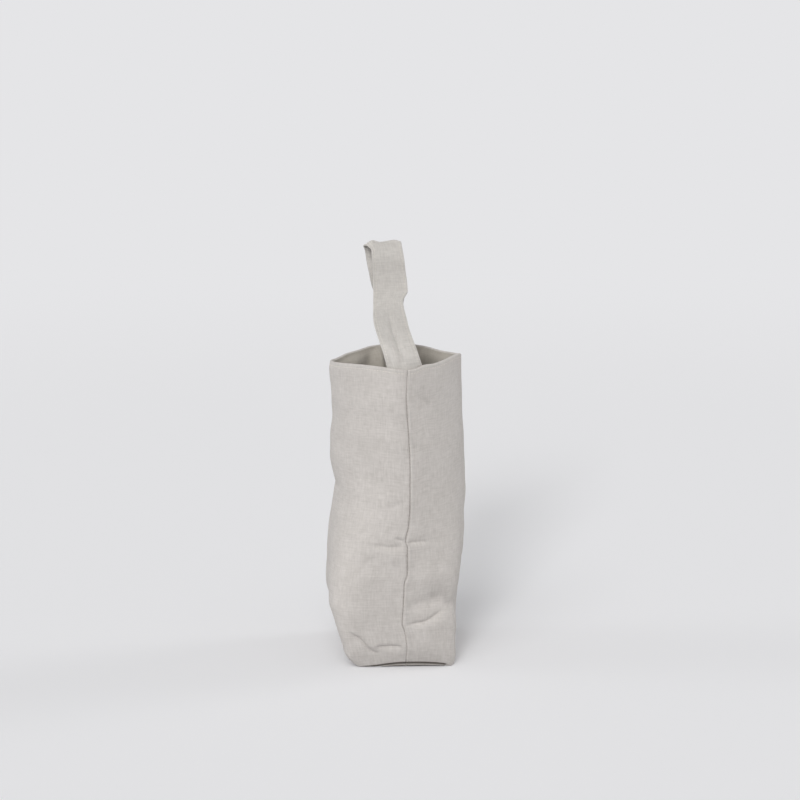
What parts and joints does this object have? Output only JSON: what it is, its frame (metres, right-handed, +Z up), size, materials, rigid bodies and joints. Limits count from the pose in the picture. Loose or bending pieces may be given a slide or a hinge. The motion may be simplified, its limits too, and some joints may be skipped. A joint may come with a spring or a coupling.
{
  "type": "tote bag",
  "caption": "Soft boxed-bottom tote bag in plain linen, lined, open at the top, with a single wide strap handle that runs from side seam to side seam and swings over the mouth.",
  "frame": {"origin": "centre of the bounding box at the underside of the base", "axes": "+Z up, +X from the left side seam to the right one, -Y the front panel"},
  "size_m": [0.2, 0.1376, 0.4142],
  "materials": {
    "outer_linen": "plain-weave linen, matt",
    "lining_linen": "plain-weave lining, matt",
    "strap_linen": "folded plain-weave linen, matt",
    "sewing_thread": "spun thread, matt"
  },
  "bodies": {
    "bag": {"outer_front_panel": "outer_linen", "outer_back_panel": "outer_linen", "lining_front_panel": "lining_linen", "lining_back_panel": "lining_linen", "handle_root_right": "strap_linen", "handle_root_left": "strap_linen", "rim_topstitch": "sewing_thread", "base_seam_thread": "sewing_thread", "lining_base_seam_thread": "sewing_thread", "handle_tack_right": "sewing_thread", "side_seam_thread_right": "sewing_thread", "lining_side_seam_thread_right": "sewing_thread", "corner_seam_thread_right": "sewing_thread", "lining_corner_seam_thread_right": "sewing_thread", "handle_tack_left": "sewing_thread", "side_seam_thread_left": "sewing_thread", "lining_side_seam_thread_left": "sewing_thread", "corner_seam_thread_left": "sewing_thread", "lining_corner_seam_thread_left": "sewing_thread"},
    "handle": {"handle_strap": "strap_linen", "handle_edge_stitch_front": "sewing_thread", "handle_edge_stitch_back": "sewing_thread"}
  },
  "joints": [
    {"name": "handle_swing", "type": "hinge", "parent": "bag", "child": "handle", "pos_m": [0, 0.0059, 0.32], "axis": [1, 0, 0], "range_deg": [-90, 70], "deforming": ["handle_root_right", "handle_root_left"]}
  ]
}
